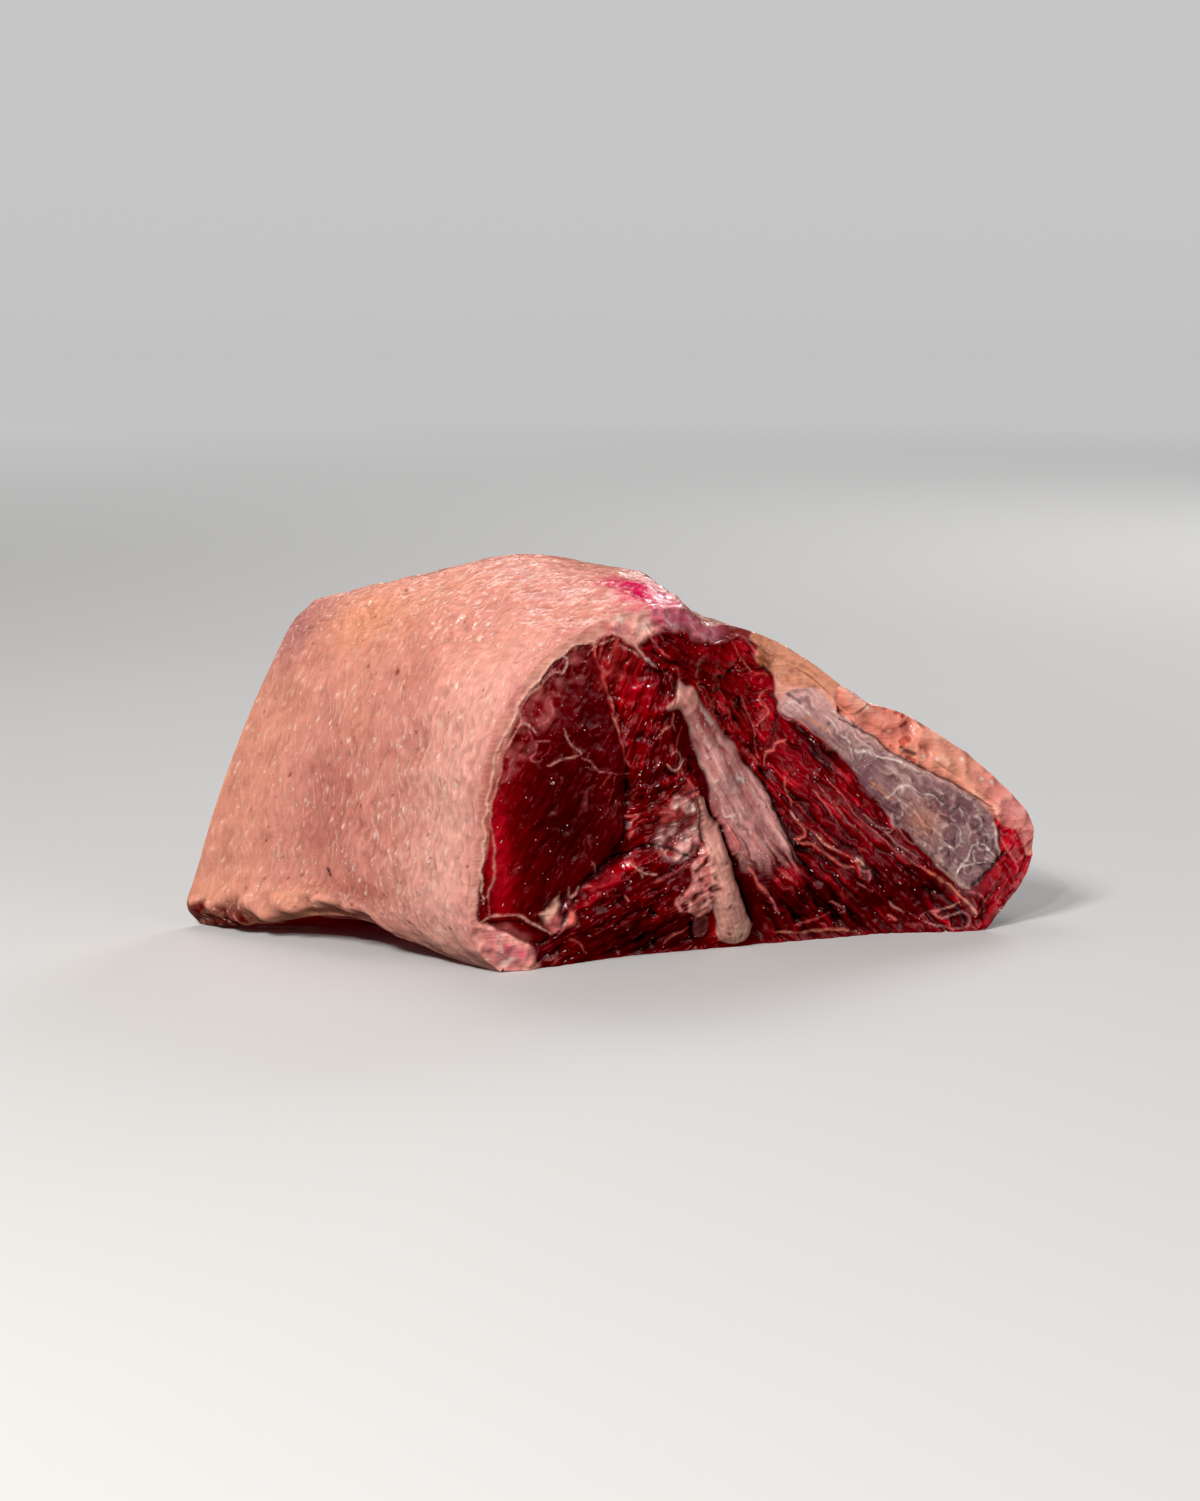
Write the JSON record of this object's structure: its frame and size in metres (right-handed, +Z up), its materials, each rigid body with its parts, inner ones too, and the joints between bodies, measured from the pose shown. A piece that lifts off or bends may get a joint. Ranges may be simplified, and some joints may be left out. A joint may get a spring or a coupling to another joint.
{
  "type": "raw sirloin joint",
  "caption": "Thick boneless raw beef sirloin joint standing on its flat base, with a cut face of muscles, sinew and silverskin and a fat cap over its side and top.",
  "frame": {"origin": "centre of the joint's box, at the height of its flat base", "axes": "+Z up; +X to the right along the joint's greatest width, as the cut face is seen; +Y away from the viewer"},
  "size_m": [0.3287, 0.1421, 0.1447],
  "materials": {
    "lean": "wet raw lean meat, dark red with fine fibres, sinew and thin fat seams",
    "fat": "moist beef fat, pinkish beige with fine wrinkles, pores and small blood spots"
  },
  "bodies": {
    "root": {"lean": "lean", "fat_cap": "fat"}
  },
  "joints": []
}
